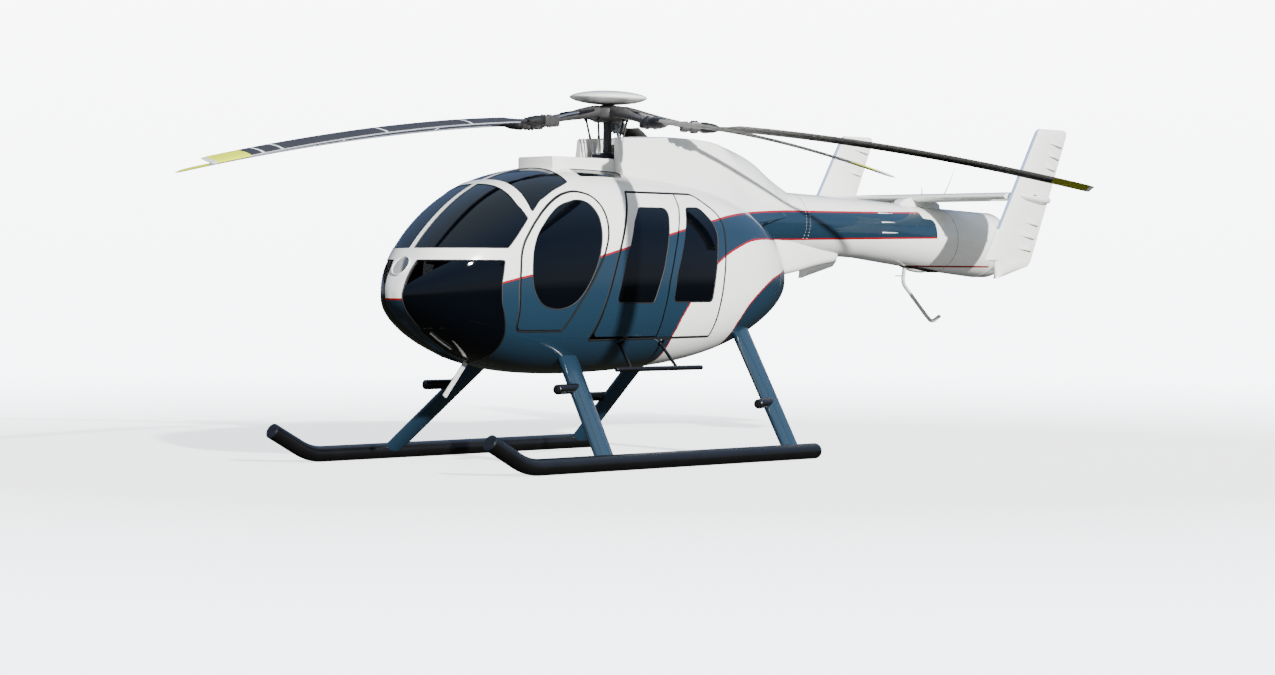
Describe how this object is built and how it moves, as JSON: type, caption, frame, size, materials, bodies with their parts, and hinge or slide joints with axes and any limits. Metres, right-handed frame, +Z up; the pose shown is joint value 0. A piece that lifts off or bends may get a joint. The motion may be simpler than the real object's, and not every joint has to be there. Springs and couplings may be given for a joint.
{
  "type": "light helicopter",
  "caption": "Light turbine helicopter with an egg-shaped cabin, dark windows, side doors on hinges, a free-turning main rotor, round tail boom, twin end fins and skids.",
  "frame": {"origin": "on the ground, under the middle of the outline seen from above", "axes": "+Z up, nose toward -Y, port side toward +X"},
  "size_m": [7.9659, 9.565, 3.0196],
  "materials": {
    "body_paint": "gloss white over blue with thin red lines",
    "door_paint": "gloss white over blue with thin red lines",
    "tinted_glass": "dark tinted acrylic, polished",
    "gear_blue": "gloss blue",
    "gear_black": "semi-gloss black",
    "hub_grey": "satin grey",
    "cap_white": "gloss white",
    "blade_dark": "satin dark grey, yellow tips",
    "link_metal": "bright steel rods",
    "cutter_white": "gloss white",
    "seat_fabric": "dark woven fabric",
    "cabin_dark": "matt dark grey",
    "engine_grey": "bare grey metal"
  },
  "bodies": {
    "airframe": {"canopy_frame": "body_paint", "roof_shell": "body_paint", "belly_pan": "body_paint", "rear_fuselage": "body_paint", "pillar_port": "body_paint", "pillar_stbd": "body_paint", "doghouse": "body_paint", "roof_fairing": "body_paint", "exhaust_fairing": "body_paint", "tail_boom": "body_paint", "thruster_cone": "body_paint", "stabiliser": "body_paint", "fin_port": "body_paint", "fin_stbd": "body_paint", "windshield_port": "tinted_glass", "windshield_stbd": "tinted_glass", "roof_window_port": "tinted_glass", "roof_window_stbd": "tinted_glass", "chin_window_port": "tinted_glass", "chin_window_stbd": "tinted_glass", "skylight_port": "tinted_glass", "skylight_stbd": "tinted_glass", "cabin_floor": "cabin_dark", "rear_bulkhead": "cabin_dark", "instrument_console": "cabin_dark", "engine_block": "engine_grey", "front_seat_port": "seat_fabric", "front_seat_stbd": "seat_fabric", "rear_bench": "seat_fabric", "tail_skid": "gear_black", "skid_port": "gear_black", "skid_stbd": "gear_black", "step_port": "gear_black", "step_stbd": "gear_black", "wire_cutter": "cutter_white", "leg_front_port": "gear_blue", "leg_front_stbd": "gear_blue", "leg_rear_port": "gear_blue", "leg_rear_stbd": "gear_blue"},
    "front_door_port": {"front_door_port": "door_paint", "front_door_glass_port": "tinted_glass"},
    "front_door_stbd": {"front_door_stbd": "door_paint", "front_door_glass_stbd": "tinted_glass"},
    "mid_door_port": {"mid_door_port": "door_paint", "mid_door_glass_port": "tinted_glass"},
    "mid_door_stbd": {"mid_door_stbd": "door_paint", "mid_door_glass_stbd": "tinted_glass"},
    "aft_door_port": {"aft_door_port": "door_paint", "aft_door_glass_port": "tinted_glass"},
    "aft_door_stbd": {"aft_door_stbd": "door_paint", "aft_door_glass_stbd": "tinted_glass"},
    "rotor": {"rotor_hub": "hub_grey", "rotor_cap": "cap_white", "pitch_links": "link_metal", "blade_1": "blade_dark", "blade_2": "blade_dark", "blade_3": "blade_dark", "blade_4": "blade_dark", "blade_5": "blade_dark"}
  },
  "joints": [
    {"name": "front_door_port_hinge", "type": "hinge", "parent": "airframe", "child": "front_door_port", "pos_m": [0.622, -2.19, 1.15], "axis": [0, 0, -1], "range_deg": [0, 80]},
    {"name": "front_door_stbd_hinge", "type": "hinge", "parent": "airframe", "child": "front_door_stbd", "pos_m": [-0.622, -2.19, 1.15], "axis": [0, 0, 1], "range_deg": [0, 80]},
    {"name": "mid_door_port_hinge", "type": "hinge", "parent": "airframe", "child": "mid_door_port", "pos_m": [0.687, -1.39, 1.177], "axis": [-0.0359, -0.3644, -0.9306], "range_deg": [0, 70]},
    {"name": "mid_door_stbd_hinge", "type": "hinge", "parent": "airframe", "child": "mid_door_stbd", "pos_m": [-0.687, -1.39, 1.177], "axis": [-0.0359, 0.3644, 0.9306], "range_deg": [0, 70]},
    {"name": "aft_door_port_hinge", "type": "hinge", "parent": "airframe", "child": "aft_door_port", "pos_m": [0.69, 0.058, 1.139], "axis": [0, 0.1319, 0.9913], "range_deg": [0, 75]},
    {"name": "aft_door_stbd_hinge", "type": "hinge", "parent": "airframe", "child": "aft_door_stbd", "pos_m": [-0.69, 0.058, 1.139], "axis": [0, -0.1319, -0.9913], "range_deg": [0, 75]},
    {"name": "rotor_spin", "type": "hinge", "parent": "airframe", "child": "rotor", "pos_m": [0, -0.618, 1.81], "axis": [0.025, 0, 0.9997], "continuous": true}
  ]
}
